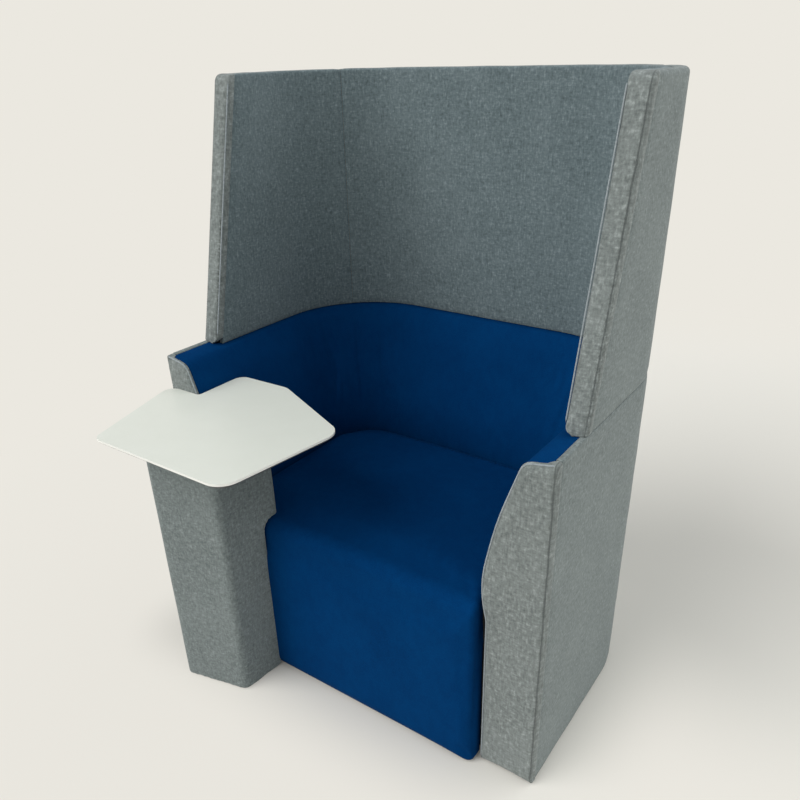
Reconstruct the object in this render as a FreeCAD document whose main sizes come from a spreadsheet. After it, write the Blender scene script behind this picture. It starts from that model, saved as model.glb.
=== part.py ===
import FreeCAD, Part
import math
import os
import re
import Sketcher
from FreeCAD import Rotation, Vector

# Acoustic high back lounge chair with a writing tablet on an upholstered pillar.
# Millimetres, +Z up, +Y to the rear. Left is -X and right is +X, as seen from the front.
# The origin lies on the floor, midway between the two sides and between the tablet's
# front edge and the back.

doc = FreeCAD.newDocument("lounge_chair")
sizes = doc.addObject("Spreadsheet::Sheet", "sizes")

# Driving dimensions. Each has one cell, and everything below reads the cells.
dimensions = {
    # Whole chair
    "chair_width": 1000,
    "body_depth": 712,  # seat front to outside of the back
    "table_reach": 248,  # tablet's front edge ahead of the seat front
    "rim_height": 800,  # top of the arms, where the screen stands
    "screen_height": 585,
    "rear_radius": 285,  # outside of the two rear corners, in plan
    "floor_gap": 10,  # upholstery above the floor
    # Layers of the wall, from outside to inside
    "outer_pad": 14,
    "ply": 14,
    "inner_pad": 18,
    "cloth_gap": 0.3,  # between a padded piece and its neighbour
    "seam_gap": 0.5,  # between two padded pieces sewn side by side
    "pad_rounding": 6,  # turned edges of the padded wall pieces
    "top_lap": 12,  # padding over the top edge of the ply
    # Screen wings
    "wing_setback": 146,  # wing's foot behind the seat front
    "wing_rake": 141,  # how far the front edge leans back over the screen's height
    "edge_strip": 22,  # depth of the strip that closes the wing's front edge
    "wing_corner": 20,
    # Arms, given as insets from the side of the chair at four heights. The profile is rounded
    # so fully at the waist and the bulge that its corners stand off it by the two eases.
    "arm_setback": 27,  # arm fronts behind the seat front
    "facing_board": 18,
    "facing_rounding": 4,
    "brow_inset": 68,
    "brow_drop": 13,
    "brow_radius": 30,
    "waist_inset": 114,
    "waist_drop": 155,
    "waist_radius": 900,
    "waist_ease": 2,
    "bulge_inset": 141,
    "bulge_rise": 40,  # above the seat
    "bulge_radius": 300,
    "bulge_ease": 6.3,
    "foot_inset": 129,
    "foot_drop": 41,  # below the seat
    "foot_radius": 20,
    # Seat and back cushions
    "seat_height": 445,
    "seat_slab": 115,
    "seat_apron": 45,
    "seat_clearance": 8,
    "seat_nose": 35,
    "seat_crown": 8,
    "side_roll": 14,  # rounding along the seat's two sides
    "back_inset_top": 63,
    "back_inset_seat": 153,
    "back_crown": 9,
    "inner_radius_seat": 110,  # between arm and back at the seat
    # Timber frame
    "rail_thickness": 30,
    "base_rail_height": 40,
    "base_rail_lift": 22,
    "seat_rail_height": 80,
    "post_width": 75,
    "post_depth": 45,
    "strap_width": 60,
    "strap_thickness": 2.5,
    "strap_pitch": 84,
    "dust_cover": 1.5,
    "dowel_radius": 4,
    "dowel_depth": 60,
    "dowel_clearance": 0.1,
    "wing_dowel_pitch": 130,
    "back_dowel_pitch": 240,
    # Pillar, measured from the chair's left side and from the seat front
    "pillar_inset": 105,
    "pillar_ahead": 161,
    "pillar_face": 177,
    "pillar_skew": 43,
    "pillar_flare": 13.5,
    "pillar_lap": 46,  # how far it reaches over the seat
    "pillar_heel_inset": 39,
    "pillar_rounding": 22,
    "pillar_rear_rounding": 9,
    "sleeve": 10,
    "carcass_board": 15,
    "end_board": 18,
    "notch_clearance": 6,
    "bolt_radius": 4,
    "bolt_length": 82,
    "bolt_head_radius": 7,
    "bolt_head_height": 5,
    "bolt_inset": 86,
    "bolt_low": 120,
    "bolt_pitch": 170,
    # Tablet
    "table_height": 720,
    "table_thickness": 12,
    "table_bevel": 7,
    "table_gap": 3,  # between the tablet and the arm it is notched round
    "table_left_front": 82,
    "table_width": 380,
    "table_right_reach": 502,
    "table_right_back": 51,
    "table_rear_inset": 248,
    "table_rear_back": 166,
    "table_arm_back": 162,
    "table_front_radius": 45,
    "table_side_radius": 25,
    "plate_width": 140,
    "plate_depth": 110,
    "plate_thickness": 3,
    "screw_radius": 2.5,
    "screw_head_radius": 4.5,
    "screw_head_height": 2,
    "screw_bite": 8,
    "screw_pitch_x": 90,
    "screw_pitch_y": 60,
    # Levelling glides
    "glide_radius": 18,
    "glide_height": 8,
    "glide_edge": 2,
    "stud_radius": 4,
    "stud_length": 42,
    "stud_hex": 13,  # across the corners
    "insert_radius": 6,
    "insert_flange_radius": 12,
    "insert_flange": 2,
    "insert_length": 18,
    "thread_clearance": 0.05,
    "glide_travel": 12,
    "front_glide_inset": 100,
}
for row, (alias, number) in enumerate(dimensions.items(), start=1):
    sizes.set(f"A{row}", alias)
    sizes.set(f"B{row}", str(number))
    sizes.setAlias(f"B{row}", alias)
doc.recompute()

ALIASES = re.compile(r"\b(" + "|".join(dimensions) + r")\b")


def value(expression):
    """What an expression of the sheet's names comes to."""
    return float(sizes.evalExpression(expression))


def bind(thing, target, expression):
    """Ties one property of a document object to the sheet."""
    thing.setExpression(target, ALIASES.sub(r"sizes.\1", expression))


# Places that many pieces share, as expressions of the sheet.
side = "(chair_width / 2)"
back = "((body_depth + table_reach) / 2)"
seat_front = f"({back} - body_depth)"
arm_front = f"({seat_front} + arm_setback)"
facing_back = f"({arm_front} + facing_board)"
wing_foot = f"({seat_front} + wing_setback)"
screen_top = "(rim_height + screen_height)"
wall = "(outer_pad + ply + inner_pad)"
core_face = "(outer_pad + ply)"
arc_x = f"({side} - rear_radius)"
arc_y = f"({back} - rear_radius)"
seat_underside = "(seat_height - seat_slab)"
rail_top = f"({seat_underside} - 2 * strap_thickness - cloth_gap)"


def body(label):
    made = doc.addObject("PartDesign::Body", label)
    made.Label = label
    return made


def sketch(owner, name, plane, lift="0"):
    """An empty sketch on one of the body's own origin planes, lifted along its normal."""
    made = owner.newObject("Sketcher::SketchObject", name)
    base = [f for f in owner.Origin.OriginFeatures if f.Role == plane][0]
    made.AttachmentSupport = [(base, "")]
    made.MapMode = "FlatFace"
    bind(made, "AttachmentOffset.Base.z", lift)
    return made


def fix_point(drawn, geometry, end, x, y):
    for kind, place in (("DistanceX", x), ("DistanceY", y)):
        mark = Sketcher.Constraint(kind, -1, 1, geometry, end, value(place))
        bind(drawn, f"Constraints[{drawn.addConstraint(mark)}]", place)


def outline(drawn, corners):
    """A closed loop through corners (x, y) or (x, y, radius), with tangent arcs at the radii."""
    places = [Vector(value(c[0]), value(c[1]), 0) for c in corners]
    count = len(places)
    arrive, leave, arcs = [], [], []
    for i, corner in enumerate(corners):
        here = places[i]
        towards_last = (places[i - 1] - here).normalize()
        towards_next = (places[(i + 1) % count] - here).normalize()
        if len(corner) == 2:
            arrive.append(here)
            leave.append(here)
            arcs.append(None)
            continue
        radius = value(corner[2])
        half_angle = towards_last.getAngle(towards_next) / 2
        reach = radius / math.tan(half_angle)
        centre = here + (towards_last + towards_next).normalize() * (radius / math.sin(half_angle))
        arrive.append(here + towards_last * reach)
        leave.append(here + towards_next * reach)
        turns_left = towards_last.cross(towards_next).z < 0
        first, second = (arrive[i], leave[i]) if turns_left else (leave[i], arrive[i])
        start, stop = (math.atan2(p.y - centre.y, p.x - centre.x) for p in (first, second))
        if stop < start:
            stop += 2 * math.pi
        circle = Part.Circle(centre, Vector(0, 0, 1), radius)
        arcs.append((drawn.addGeometry(Part.ArcOfCircle(circle, start, stop)), turns_left))
    lines = [
        drawn.addGeometry(Part.LineSegment(leave[i], arrive[(i + 1) % count])) for i in range(count)
    ]
    for i, corner in enumerate(corners):
        before, after = lines[i - 1], lines[i]
        if arcs[i] is None:
            drawn.addConstraint(Sketcher.Constraint("Coincident", before, 2, after, 1))
            fix_point(drawn, after, 1, corner[0], corner[1])
            continue
        arc, turns_left = arcs[i]
        mark = drawn.addGeometry(Part.Point(places[i]), True)
        fix_point(drawn, mark, 1, corner[0], corner[1])
        drawn.addConstraint(Sketcher.Constraint("PointOnObject", mark, 1, before))
        drawn.addConstraint(Sketcher.Constraint("PointOnObject", mark, 1, after))
        arriving, leaving = (1, 2) if turns_left else (2, 1)
        drawn.addConstraint(Sketcher.Constraint("Tangent", before, 2, arc, arriving))
        drawn.addConstraint(Sketcher.Constraint("Tangent", after, 1, arc, leaving))
        size = drawn.addConstraint(Sketcher.Constraint("Radius", arc, value(corner[2])))
        bind(drawn, f"Constraints[{size}]", corner[2])
    return drawn


def circles(drawn, centres, radius):
    for x, y in centres:
        round_edge = Part.Circle(Vector(value(x), value(y), 0), Vector(0, 0, 1), value(radius))
        drawn_circle = drawn.addGeometry(round_edge)
        fix_point(drawn, drawn_circle, 3, x, y)
        size = drawn.addConstraint(Sketcher.Constraint("Radius", drawn_circle, value(radius)))
        bind(drawn, f"Constraints[{size}]", radius)
    return drawn


def pad(owner, drawn, length):
    made = owner.newObject("PartDesign::Pad", drawn.Name + "_pad")
    made.Profile = drawn
    bind(made, "Length", length)
    drawn.Visibility = False
    doc.recompute()
    return made


def pocket(owner, drawn, length, up=False):
    """Cuts a sketch's outline away over a length, down from its plane or up from it."""
    made = owner.newObject("PartDesign::Pocket", drawn.Name + "_pocket")
    made.Profile = drawn
    made.Reversed = up
    bind(made, "Length", length)
    doc.recompute()
    drawn.Visibility = False
    return made


def round_edges(owner, feature, radius, wanted):
    """Rounds the edges of a body's last feature that the test picks out."""
    names = [f"Edge{i}" for i, edge in enumerate(feature.Shape.Edges, start=1) if wanted(edge)]
    made = owner.newObject("PartDesign::Fillet", feature.Name + "_rounding")
    made.Base = (feature, names)
    bind(made, "Radius", radius)
    doc.recompute()
    return made


def slab(label, corners, bottom, height):
    """A flat piece with a plain outline, such as a board or a rail."""
    made = body(label)
    pad(made, outline(sketch(made, label + "_plan", "XY_Plane", bottom), corners), height)
    return made


def rectangle(x0, x1, y0, y1):
    return [(x0, y0), (x1, y0), (x1, y1), (x0, y1)]


def block(name, x0, x1, y0, y1, z0, z1):
    """A straight box between two corners, as a primitive bound to the sheet."""
    made = doc.addObject("Part::Box", name)
    for target, low, high, axis in (
        ("Length", x0, x1, "x"),
        ("Width", y0, y1, "y"),
        ("Height", z0, z1, "z"),
    ):
        bind(made, target, f"({high}) - ({low})")
        bind(made, f"Placement.Base.{axis}", low)
    return made


def group(label, pieces):
    """Several like pieces kept as separate solids of one node."""
    made = doc.addObject("Part::Compound", label)
    made.Links = pieces
    made.Label = label
    return made


def boolean(kind, label, base, tool):
    made = doc.addObject("Part::" + kind, label)
    made.Base = base
    made.Tool = tool
    made.Label = label
    return made


def extrusion(name, source, lift, length):
    """A straight prism on a flat outline that lies at height 0."""
    made = doc.addObject("Part::Extrusion", name)
    made.Base = source
    made.DirMode = "Custom"
    made.Dir = Vector(0, 0, 1)
    made.Solid = True
    bind(made, "LengthFwd", length)
    bind(made, "Placement.Base.z", lift)
    return made


nodes = []


# Timber frame: two rings of rails, one at the floor and one under the seat, joined by posts.
# The rear corners are cut off by braces, because the shell is rounded there.
frame_side = f"({side} - {core_face})"
frame_back = f"({back} - {core_face})"
rail_side = f"({frame_side} - rail_thickness)"
rail_back = f"({frame_back} - rail_thickness)"


def ring(prefix, bottom, height):
    post_back = f"({facing_back} + post_depth)"
    inner_front = f"{frame_side} - post_width"
    front = rectangle(f"-({inner_front})", inner_front, facing_back, f"{facing_back} + rail_thickness")
    nodes.append(slab(f"{prefix}_rail_front", front, bottom, height))
    rear = rectangle(f"-{arc_x}", arc_x, rail_back, frame_back)
    nodes.append(slab(f"{prefix}_rail_rear", rear, bottom, height))
    for name, hand in (("left", "-"), ("right", "")):
        rail = [
            (f"{hand}{frame_side}", post_back),
            (f"{hand}{frame_side}", arc_y),
            (f"{hand}{rail_side}", arc_y),
            (f"{hand}{rail_side}", post_back),
        ]
        brace = [
            (f"{hand}{frame_side}", arc_y),
            (f"{hand}{arc_x}", frame_back),
            (f"{hand}{arc_x}", rail_back),
            (f"{hand}{rail_side}", arc_y),
        ]
        nodes.append(slab(f"{prefix}_rail_{name}", rail, bottom, height))
        nodes.append(slab(f"{prefix}_brace_{name}", brace, bottom, height))


ring("base", "base_rail_lift", "base_rail_height")
ring("seat", f"{rail_top} - seat_rail_height", "seat_rail_height")

for name, hand in (("left", "-"), ("right", "")):
    outer, inner = f"{hand}{frame_side}", f"{hand}({frame_side} - post_width)"
    low, high = (outer, inner) if hand else (inner, outer)
    post = block(
        f"front_post_{name}",
        low,
        high,
        facing_back,
        f"{facing_back} + post_depth",
        "base_rail_lift",
        rail_top,
    )
    nodes.append(post)
    outer, inner = f"{hand}{arc_x}", f"{hand}({arc_x} - post_depth)"
    low, high = (outer, inner) if hand else (inner, outer)
    post = block(
        f"rear_post_{name}",
        low,
        high,
        f"{rail_back} - post_depth",
        rail_back,
        "base_rail_lift",
        rail_top,
    )
    nodes.append(post)

# Elastic webbing: straps from side to side lie on the rails, straps from front to back on them.
straps = []
for i in (-1, 0, 1):
    middle = f"({facing_back} + {arc_y}) / 2 + 1.2 * strap_pitch * {i} + strap_width / 2"
    straps.append(
        block(
            f"cross_strap_{i + 2}",
            f"-{frame_side}",
            frame_side,
            f"{middle} - strap_width / 2",
            f"{middle} + strap_width / 2",
            rail_top,
            f"{rail_top} + strap_thickness",
        )
    )
for i in range(-2, 3):
    middle = f"strap_pitch * {i}"
    straps.append(
        block(
            f"long_strap_{i + 3}",
            f"{middle} - strap_width / 2",
            f"{middle} + strap_width / 2",
            facing_back,
            frame_back,
            f"{rail_top} + strap_thickness",
            f"{rail_top} + 2 * strap_thickness",
        )
    )
nodes.append(group("seat_webbing", straps))

# Levelling glides: four under the frame and one under the pillar. Each has a flanged insert
# pressed in the timber, a threaded stud with a hexagon, and a foot moulded on the stud.
brace_x = f"(({frame_side} + {arc_x} + {rail_side} + {arc_x}) / 4)"
brace_y = f"(({arc_y} + {frame_back} + {rail_back} + {arc_y}) / 4)"
front_x = f"({side} - front_glide_inset - post_width)"
front_y = f"({facing_back} + rail_thickness / 2)"
pillar_left = f"(-{side} + pillar_inset)"
pillar_front = f"({seat_front} - pillar_ahead)"
pillar_mid_x = f"({pillar_left} + pillar_face / 2 - pillar_flare / 2)"
pillar_mid_y = f"(({pillar_front} + {arm_front}) / 2 + pillar_skew / 4)"
glide_places = {
    "front_left": (f"-{front_x}", front_y),
    "front_right": (front_x, front_y),
    "rear_left": (f"-{brace_x}", brace_y),
    "rear_right": (brace_x, brace_y),
    "pillar": (pillar_mid_x, pillar_mid_y),
}


def bore(owner, name, place, bottom, depth):
    drawn = sketch(owner, name, "XY_Plane", bottom)
    circles(drawn, [place], "insert_radius + thread_clearance")
    pocket(owner, drawn, depth, up=True)


for spot, rail in (
    ("front_left", "base_rail_front"),
    ("front_right", "base_rail_front"),
    ("rear_left", "base_brace_left"),
    ("rear_right", "base_brace_right"),
):
    bore(doc.getObject(rail), f"{spot}_bore", glide_places[spot], "base_rail_lift", "base_rail_height")

inserts = []
for spot, (x, y) in glide_places.items():
    nut = body(f"{spot}_insert")
    flange = sketch(nut, f"{spot}_flange", "XY_Plane", "base_rail_lift - insert_flange")
    pad(nut, circles(flange, [(x, y)], "insert_flange_radius"), "insert_flange")
    barrel = sketch(nut, f"{spot}_barrel", "XY_Plane", "base_rail_lift")
    pad(nut, circles(barrel, [(x, y)], "insert_radius"), "insert_length")
    thread = sketch(nut, f"{spot}_thread", "XY_Plane", "base_rail_lift - insert_flange")
    circles(thread, [(x, y)], "stud_radius + thread_clearance")
    pocket(nut, thread, "insert_flange + insert_length", up=True)
    inserts.append(nut)

    stud = body(f"glide_stud_{spot}")
    shank = sketch(stud, f"{spot}_shank", "XY_Plane", "glide_height")
    pad(stud, circles(shank, [(x, y)], "stud_radius"), "stud_length")
    hexagon = [
        (
            f"{x} + stud_hex / 2 * cos({60 * k})",
            f"{y} + stud_hex / 2 * sin({60 * k})",
        )
        for k in range(6)
    ]
    collar = sketch(stud, f"{spot}_hexagon", "XY_Plane", "glide_height")
    pad(stud, outline(collar, hexagon), "base_rail_lift - insert_flange - glide_height - cloth_gap")
    nodes.append(stud)

    foot = body(f"glide_foot_{spot}")
    pad(foot, circles(sketch(foot, f"{spot}_disc", "XY_Plane"), [(x, y)], "glide_radius"), "glide_height")
    chamfer = foot.newObject("PartDesign::Chamfer", f"{spot}_edge")
    disc = doc.getObject(f"{spot}_disc_pad")
    rims = [
        f"Edge{i}"
        for i, edge in enumerate(disc.Shape.Edges, start=1)
        if edge.BoundBox.ZLength < 0.01 and edge.BoundBox.ZMin > value("glide_height") / 2
    ]
    chamfer.Base = (disc, rims)
    bind(chamfer, "Size", "glide_edge")
    nodes.append(foot)
nodes.append(group("glide_inserts", inserts))


# Wall pieces: a U in plan between two insets from the outside of the chair.
def wall_outline(near, far, front):
    corners = []
    for inset, hands in ((near, ("", "-")), (far, ("-", ""))):
        x, y, radius = f"({side} - {inset})", f"{back} - {inset}", f"rear_radius - {inset}"
        rounded = [(f"{hand}{x}", y, radius) for hand in hands]
        corners += [(f"{hands[0]}{x}", front), *rounded, (f"{hands[1]}{x}", front)]
    return corners


def wall_body(label, near, far, front, bottom, height):
    made = body(label)
    drawn = sketch(made, label + "_plan", "XY_Plane", bottom)
    pad(made, outline(drawn, wall_outline(near, far, front)), height)
    return made


def rake_cut(owner, setback):
    """Cuts a wall back to the leaning front edge of the wings, set back from it by a distance."""
    drawn = sketch(owner, owner.Name + "_rake", "YZ_Plane", f"-{side}")
    lean = "(wing_rake / screen_height)"
    margin = "wing_rake"
    line = f"{wing_foot} + {setback}"
    corners = [
        (f"{seat_front} - {margin}", f"rim_height - {margin}"),
        (f"{line} - {lean} * {margin}", f"rim_height - {margin}"),
        (f"{line} + wing_rake + {lean} * {margin}", f"{screen_top} + {margin}"),
        (f"{seat_front} - {margin}", f"{screen_top} + {margin}"),
    ]
    return pocket(owner, outline(drawn, corners), "chair_width", up=True)


# Wedges that part a padded wall at the middle of each rear corner, where its covers are sewn.
def wedge(name, corners):
    made = body(name)
    drawn = sketch(made, name + "_plan", "XY_Plane", "-chair_width")
    pad(made, outline(drawn, corners), "4 * chair_width")
    return made


far = "chair_width"
seam_shift = f"({arc_x} - seam_gap)"
back_wedge = wedge(
    "back_wedge",
    [
        (seam_shift, arc_y),
        (f"{seam_shift} + {far}", f"{arc_y} + {far}"),
        (f"-({seam_shift} + {far})", f"{arc_y} + {far}"),
        (f"-{seam_shift}", arc_y),
    ],
)
side_wedges = {
    name: wedge(
        f"{name}_wedge",
        [
            (f"{hand}{arc_x}", arc_y),
            (f"{hand}{arc_x}", f"-{far}"),
            (f"{hand}({arc_x} + {far})", f"-{far}"),
            (f"{hand}({arc_x} + {far})", f"{arc_y} + {far}"),
        ],
    )
    for name, hand in (("left", "-"), ("right", ""))
}


def in_three(whole, names):
    """Parts one padded wall into its left, back and right covers."""
    for wedge_body, name in zip((side_wedges["left"], back_wedge, side_wedges["right"]), names):
        nodes.append(boolean("Common", name, whole, wedge_body))


# Tub: a bent plywood U from the floor gap to the rim, cut down at the front for the arm tops.
tub_core = wall_body(
    "tub_core",
    "(outer_pad)",
    core_face,
    facing_back,
    "floor_gap + dust_cover",
    "rim_height - floor_gap - dust_cover",
)
arm_top_end = f"({wing_foot} + edge_strip)"
steps = sketch(tub_core, "arm_top_step", "XY_Plane", "rim_height")
for hand in ("-", ""):
    x0, x1 = (f"{hand}({side} - {core_face} - ply)", f"{hand}{side}")
    outline(steps, rectangle(x0, x1, f"{facing_back} - facing_board", arm_top_end))
pocket(tub_core, steps, "top_lap")

dowel_line = "(outer_pad + ply / 2)"
first_dowel = f"({arm_top_end} + wing_rake / 2)"
dowel_places = [
    (f"{hand}({side} - {dowel_line})", f"{first_dowel} + {step} * wing_dowel_pitch")
    for hand in ("-", "")
    for step in (0, 1)
]
dowel_places += [
    (f"{hand}back_dowel_pitch / 2", f"{back} - {dowel_line}") for hand in ("-", "")
]
tub_bores = sketch(tub_core, "tub_dowel_bores", "XY_Plane", "rim_height")
pocket(tub_core, circles(tub_bores, dowel_places, "dowel_radius + dowel_clearance"), "dowel_depth")
nodes.append(tub_core)

# The arm tops slope inwards from the rim to the brow, and the wings' feet follow them.
lip_z = f"(rim_height - brow_drop * {wall} / brow_inset)"


def arm_slope(owner, name, hand, shift, above):
    """The outline of all that lies above, or below, the slope of one arm's top."""
    drawn = sketch(owner, name, "XZ_Plane", f"-({arm_top_end})")
    margin = "brow_inset"
    limit = f"rim_height {'+' if above else '-'} 2 * {margin}"
    outer, inner = f"{hand}({side} + {margin})", f"{hand}({side} - {margin})"
    return outline(
        drawn,
        [
            (outer, limit),
            (inner, limit),
            (inner, f"rim_height - brow_drop + {shift}"),
            (outer, f"rim_height + brow_drop + {shift}"),
        ],
    )


tub_pad = wall_body(
    "tub_pad_form",
    "(0)",
    "(outer_pad - cloth_gap)",
    facing_back,
    "floor_gap",
    "rim_height - floor_gap - 2 * seam_gap",
)


def outside_edge(level):
    """Picks the level edges at one height that run along the outside of the chair."""
    z = value(level)
    reach = value(side) - 1
    rear = value(back) - 1

    def wanted(edge):
        box = edge.BoundBox
        flat = box.ZLength < 0.01 and abs(box.ZMin - z) < 0.01
        long = edge.Length > value("facing_board") * 2
        return flat and long and (max(abs(box.XMin), abs(box.XMax)) > reach or box.YMax > rear)

    return wanted


tub_top = "rim_height - 2 * seam_gap"
rounded = round_edges(tub_pad, tub_pad.Tip, "pad_rounding", outside_edge(tub_top))
round_edges(tub_pad, rounded, "pad_rounding", outside_edge("floor_gap"))
for name, hand in (("left", "-"), ("right", "")):
    slope = arm_slope(tub_pad, f"tub_{name}_slope", hand, "0", above=True)
    pocket(tub_pad, slope, f"{arm_top_end} - ({arm_front})", up=True)
in_three(tub_pad, ("tub_cover_left", "tub_cover_back", "tub_cover_right"))

# Inner upholstery: one hollow form from the webbing to the rim, parted into two arm pads and
# the back cushion. Its hollow is lofted through level sections that follow the arm's profile.
brow_z = "(rim_height - brow_drop)"
waist_z = "(rim_height - waist_drop)"
bulge_z = "(seat_height + bulge_rise)"
foot_z = "(seat_height - foot_drop)"
inner_form = body("upholstery_form")
clear_face = f"({core_face} + cloth_gap)"
form_side, form_back = f"({side} - {clear_face})", f"({back} - {clear_face})"
form_radius = f"(rear_radius - {clear_face})"
form_front = f"({facing_back} + cloth_gap)"
drawn = sketch(inner_form, "upholstery_plan", "XY_Plane", seat_underside)
outline(
    drawn,
    [
        (form_side, form_front),
        (form_side, form_back, form_radius),
        (f"-{form_side}", form_back, form_radius),
        (f"-{form_side}", form_front),
    ],
)
pad(inner_form, drawn, f"{lip_z} - {seat_underside}")
laps = sketch(inner_form, "arm_top_laps", "XY_Plane", "rim_height - top_lap + cloth_gap")
for hand in ("-", ""):
    x0, x1 = f"{hand}({form_side} - ply)", f"{hand}({side} - outer_pad)"
    outline(laps, rectangle(x0, x1, form_front, f"{arm_top_end} - top_lap / 2"))
pad(inner_form, laps, "top_lap - cloth_gap")
for name, hand in (("left", "-"), ("right", "")):
    slope = arm_slope(inner_form, f"arm_top_{name}_slope", hand, "0", above=True)
    pocket(inner_form, slope, f"{arm_top_end} - ({arm_front})", up=True)


def back_inset(height):
    """How far the back cushion's face stands inside the back of the chair at a height."""
    share = f"((rim_height - {height}) / (rim_height - seat_height))"
    bow = f"4 * back_crown * {share} * (1 - {share})"
    return f"(back_inset_top + (back_inset_seat - back_inset_top) * {share} + {bow})"


def corner_radius(height):
    """The rounding in plan between arm and back at a height."""
    share = f"((rim_height - {height}) / (rim_height - {seat_underside}))"
    top_radius = "(rear_radius - back_inset_top)"
    return f"({top_radius} - ({top_radius} - inner_radius_seat) * {share})"


def arm_inset(height):
    """How far the arm's face stands inside the side of the chair, between waist and brow."""
    share = f"(({brow_z} - {height}) / ({brow_z} - {waist_z}))"
    return f"(brow_inset + (waist_inset + waist_ease - brow_inset) * {share})"


middle_z = f"(({bulge_z} + {waist_z}) / 2)"
upper_z = f"(({waist_z} + {brow_z} - 0.7 * brow_radius) / 2)"
turn_z = f"({brow_z} - 0.7 * brow_radius)"
crest_z = f"({brow_z} - 0.12 * brow_radius)"
turn, lip = "(0.15 * brow_radius)", f"({wall} + 0.07 * brow_radius)"
hollow_sections = [
    (f"({seat_underside} - top_lap)", "foot_inset", "back_inset_seat"),
    (foot_z, "foot_inset", "back_inset_seat"),
    (bulge_z, "(bulge_inset - cloth_gap)", back_inset(bulge_z)),
    (middle_z, "((bulge_inset + bulge_ease + waist_inset + waist_ease) / 2)", back_inset(middle_z)),
    (waist_z, "waist_inset", back_inset(waist_z)),
    (upper_z, arm_inset(upper_z), back_inset(upper_z)),
    (turn_z, arm_inset(turn_z), back_inset(turn_z)),
    (crest_z, f"({arm_inset(crest_z)} - {turn})", f"({back_inset(crest_z)} - {turn})"),
    (f"({lip_z} + seam_gap)", lip, lip),
]
hollow = inner_form.newObject("PartDesign::SubtractiveLoft", "sitting_hollow")
profiles = []
for i, (height, inset, rear_inset) in enumerate(hollow_sections):
    level = sketch(inner_form, f"hollow_level_{i + 1}", "XY_Plane", height)
    x, y = f"({side} - {inset})", f"({back} - {rear_inset})"
    radius, mouth = corner_radius(height), f"({facing_back} - facing_board)"
    profiles.append(
        outline(level, [(x, mouth), (x, y, radius), (f"-{x}", y, radius), (f"-{x}", mouth)])
    )
hollow.Profile = profiles[0]
hollow.Sections = profiles[1:]
hollow.Ruled = False
inner_form.Tip = hollow
doc.recompute()
in_three(inner_form, ("arm_pad_left", "back_cushion", "arm_pad_right"))

# Arm fronts: a board cut to the arm's profile, wrapped in the pale heather cloth.
for name, hand in (("left", "-"), ("right", "")):
    facing = body(f"arm_facing_{name}")
    drawn = sketch(facing, f"facing_{name}_profile", "XZ_Plane", f"-({facing_back})")
    outline(
        drawn,
        [
            (f"{hand}{side}", "floor_gap"),
            (f"{hand}{side}", "rim_height", "pad_rounding"),
            (f"{hand}({side} - brow_inset)", brow_z, "brow_radius"),
            (f"{hand}({side} - waist_inset - waist_ease)", waist_z, "waist_radius"),
            (f"{hand}({side} - bulge_inset - bulge_ease)", bulge_z, "bulge_radius"),
            (f"{hand}({side} - foot_inset)", foot_z, "foot_radius"),
            (f"{hand}({side} - foot_inset)", "floor_gap"),
        ],
    )
    board = pad(facing, drawn, "facing_board")
    front = value(arm_front)
    round_edges(
        facing,
        board,
        "facing_rounding",
        lambda edge: edge.BoundBox.YLength < 0.01 and abs(edge.BoundBox.YMin - front) < 0.01,
    )
    nodes.append(facing)

# Seat cushion: a foam slab that turns down over the front rail to the floor in one cover.
# Three sections across the seat give it its crown, and its upper edges are rolled over.
seat = body("seat_cushion")
seat_side = f"({side} - foot_inset - seat_clearance)"
seat_rear = f"({back} - back_inset_seat - seat_clearance)"
apron_back = f"({facing_back} - cloth_gap)"
seat_loft = seat.newObject("PartDesign::AdditiveLoft", "seat_loft")
profiles = []
for i, (x, rise) in enumerate(((f"-{seat_side}", "0"), ("0", "seat_crown"), (seat_side, "0"))):
    section = sketch(seat, f"seat_section_{i + 1}", "YZ_Plane", x)
    top = f"(seat_height + {rise})"
    profiles.append(
        outline(
            section,
            [
                (seat_front, "floor_gap"),
                (apron_back, "floor_gap"),
                (apron_back, f"{seat_underside} + cloth_gap"),
                (seat_rear, f"{seat_underside} + cloth_gap"),
                (seat_rear, top),
                (seat_front, top, "seat_nose"),
            ],
        )
    )
seat_loft.Profile = profiles[0]
seat_loft.Sections = profiles[1:]
seat_loft.Ruled = False
seat.Tip = seat_loft
doc.recompute()
corners = sketch(seat, "seat_rear_corners", "XY_Plane", "floor_gap")
outline(corners, rectangle("-chair_width", "chair_width", "-chair_width", "chair_width"))
seat_corner = f"({corner_radius('seat_height')} - seat_clearance)"
outline(
    corners,
    [
        (seat_side, "-body_depth"),
        (seat_side, seat_rear, seat_corner),
        (f"-{seat_side}", seat_rear, seat_corner),
        (f"-{seat_side}", "-body_depth"),
    ],
)
cut = pocket(seat, corners, "seat_height + seat_crown", up=True)
seat_edge = value(seat_side)
seat_level = value("seat_height")
round_edges(
    seat,
    cut,
    "side_roll",
    lambda edge: edge.BoundBox.XLength < 0.01
    and edge.BoundBox.ZLength < 0.01
    and abs(abs(edge.BoundBox.XMin) - seat_edge) < 0.01
    and abs(edge.BoundBox.ZMin - seat_level) < 0.01,
)
nodes.append(seat)

# Screen: a bent plywood U on the tub's rim, pegged to it, padded on both faces.
screen_core = wall_body(
    "screen_core",
    "(outer_pad)",
    core_face,
    wing_foot,
    "rim_height",
    "screen_height - top_lap",
)
rake_cut(screen_core, "edge_strip")
screen_bores = sketch(screen_core, "screen_dowel_bores", "XY_Plane", "rim_height")
circles(screen_bores, dowel_places, "dowel_radius + dowel_clearance")
pocket(screen_core, screen_bores, "dowel_depth", up=True)
nodes.append(screen_core)

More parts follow.
